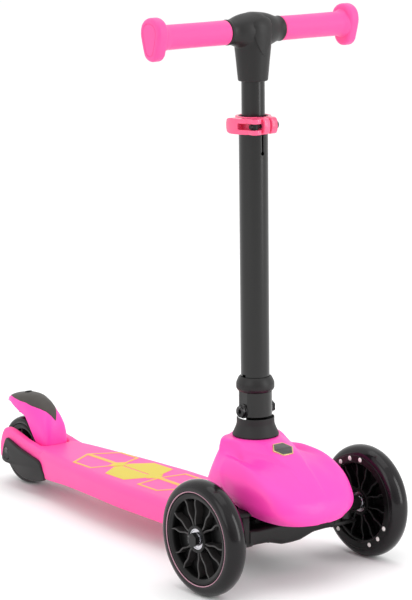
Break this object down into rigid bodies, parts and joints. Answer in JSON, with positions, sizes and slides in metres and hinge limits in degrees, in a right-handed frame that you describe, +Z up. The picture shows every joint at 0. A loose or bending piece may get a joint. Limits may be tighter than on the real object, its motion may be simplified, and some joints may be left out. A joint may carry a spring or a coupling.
{
  "type": "kick scooter",
  "caption": "Child's kick scooter that steers by leaning, with a pink deck and front cover, black folding stem, pink grips and a foot brake over the rear wheel.",
  "frame": {"origin": "on the floor, in the middle of the scooter's length and width", "axes": "+Z up, -Y towards the front wheels and the nose of the cover, +Y towards the rear wheel and the brake, +X to the right seen from the front"},
  "size_m": [0.26, 0.578, 0.58],
  "materials": {
    "pink_shell": "satin",
    "pink_deck": "fine texture with a printed hexagon pattern",
    "pink_grip": "soft matt",
    "pink_coated_metal": "satin powder coat",
    "black_coated_metal": "satin powder coat",
    "black_plastic": "satin",
    "black_rubber": "matt",
    "smoke_tyre": "smoky, slightly see-through polyurethane",
    "grey_core": "satin",
    "lamp_white": "gloss",
    "pad_grey": "ribbed matt",
    "steel": "zinc plated",
    "blackened_steel": "black oxide",
    "silver_badge": "satin silver"
  },
  "bodies": {
    "deck": {"deck_board": "pink_deck", "side_cover_left": "black_plastic", "side_cover_right": "black_plastic", "rear_axle_bolt": "blackened_steel", "rear_axle_nut": "blackened_steel", "truck_beam": "black_plastic", "deck_screws": "steel", "kingpins": "steel", "lean_pivot_shaft": "steel", "centring_springs": "steel", "spring_seats": "black_plastic", "front_cover": "pink_shell", "badge": "silver_badge", "brake_hinge_pin": "steel", "brake_spring": "steel"},
    "column": {"lean_column": "black_coated_metal", "column_boot": "black_rubber"},
    "tie_rod": {"tie_rod": "blackened_steel"},
    "knuckle_left": {"steering_knuckle_left": "black_coated_metal", "front_axle_bolt_left": "blackened_steel", "front_left_magnet_spacer": "steel"},
    "knuckle_right": {"steering_knuckle_right": "black_coated_metal", "front_axle_bolt_right": "blackened_steel", "front_right_magnet_spacer": "steel"},
    "front_left_wheel": {"front_left_tyre": "smoke_tyre", "front_left_core": "grey_core", "front_left_bearings": "steel", "front_left_light_ring": "lamp_white"},
    "front_right_wheel": {"front_right_tyre": "smoke_tyre", "front_right_core": "grey_core", "front_right_bearings": "steel", "front_right_light_ring": "lamp_white"},
    "rear_wheel": {"rear_tyre": "smoke_tyre", "rear_core": "grey_core", "rear_bearings": "steel"},
    "brake": {"brake_fender": "pink_shell", "brake_foot_pad": "pad_grey", "foot_pad_screw": "blackened_steel", "brake_shoe": "pad_grey"},
    "stem": {"fold_knuckle": "black_plastic", "fold_bolt": "blackened_steel", "fold_washers": "steel", "fold_nut": "blackened_steel", "lower_tube": "black_coated_metal", "clamp_band": "pink_coated_metal", "clamp_bolt": "blackened_steel", "cam_barrel": "steel", "latch_spring": "steel", "latch_spring_seat": "black_plastic"},
    "latch": {"latch_plunger": "steel", "latch_ring": "black_plastic"},
    "clamp_lever": {"cam_lever": "pink_coated_metal"},
    "handlebar": {"upper_tube": "black_coated_metal", "tube_bush": "black_plastic", "tee_joint": "black_plastic", "tee_cap": "black_plastic", "bar_tube": "blackened_steel", "grip_left": "pink_grip", "grip_right": "pink_grip"}
  },
  "joints": [
    {"name": "lean", "type": "hinge", "parent": "deck", "child": "column", "pos_m": [0, -0.179, 0.096], "axis": [0, 1, 0], "range_deg": [-12, 12], "stiffness_Nm_per_rad": 25, "deforming": ["centring_springs", "column_boot"]},
    {"name": "steer_link", "type": "slide", "parent": "deck", "child": "tie_rod", "axis": [1, 0, 0], "range_m": [-0.0088, 0.0088]},
    {"name": "steer_left", "type": "hinge", "parent": "deck", "child": "knuckle_left", "pos_m": [-0.078, -0.229, 0.06], "axis": [0, 0, 1], "range_deg": [-13, 13]},
    {"name": "steer_right", "type": "hinge", "parent": "deck", "child": "knuckle_right", "pos_m": [0.078, -0.229, 0.06], "axis": [0, 0, 1], "range_deg": [-13, 13]},
    {"name": "front_left_spin", "type": "hinge", "parent": "knuckle_left", "child": "front_left_wheel", "pos_m": [-0.108, -0.229, 0.06], "axis": [1, 0, 0], "continuous": true},
    {"name": "front_right_spin", "type": "hinge", "parent": "knuckle_right", "child": "front_right_wheel", "pos_m": [0.108, -0.229, 0.06], "axis": [1, 0, 0], "continuous": true},
    {"name": "rear_spin", "type": "hinge", "parent": "deck", "child": "rear_wheel", "pos_m": [0, 0.246, 0.04], "axis": [1, 0, 0], "continuous": true},
    {"name": "brake_press", "type": "hinge", "parent": "deck", "child": "brake", "pos_m": [0, 0.194, 0.054], "axis": [-1, 0, 0], "range_deg": [0, 3.5], "stiffness_Nm_per_rad": 2, "springref_deg": -17.19},
    {"name": "stem_fold", "type": "hinge", "parent": "column", "child": "stem", "pos_m": [0, -0.179, 0.167], "axis": [-1, 0, 0], "range_deg": [0, 90]},
    {"name": "latch_lift", "type": "slide", "parent": "stem", "child": "latch", "axis": [0, 0, 1], "range_m": [0, 0.008], "stiffness_N_per_m": 400, "springref_m": -0.01, "deforming": ["latch_spring"]},
    {"name": "clamp_open", "type": "hinge", "parent": "stem", "child": "clamp_lever", "pos_m": [-0.016, -0.201, 0.464], "axis": [0, 0, 1], "range_deg": [0, 110]},
    {"name": "bar_height", "type": "slide", "parent": "stem", "child": "handlebar", "axis": [0, 0, 1], "range_m": [-0.028, 0.16]}
  ],
  "couplings": [
    {"joint": "steer_link", "follows": "lean", "m_per_rad": -0.04},
    {"joint": "steer_left", "follows": "lean", "ratio": 1},
    {"joint": "steer_right", "follows": "lean", "ratio": 1}
  ]
}
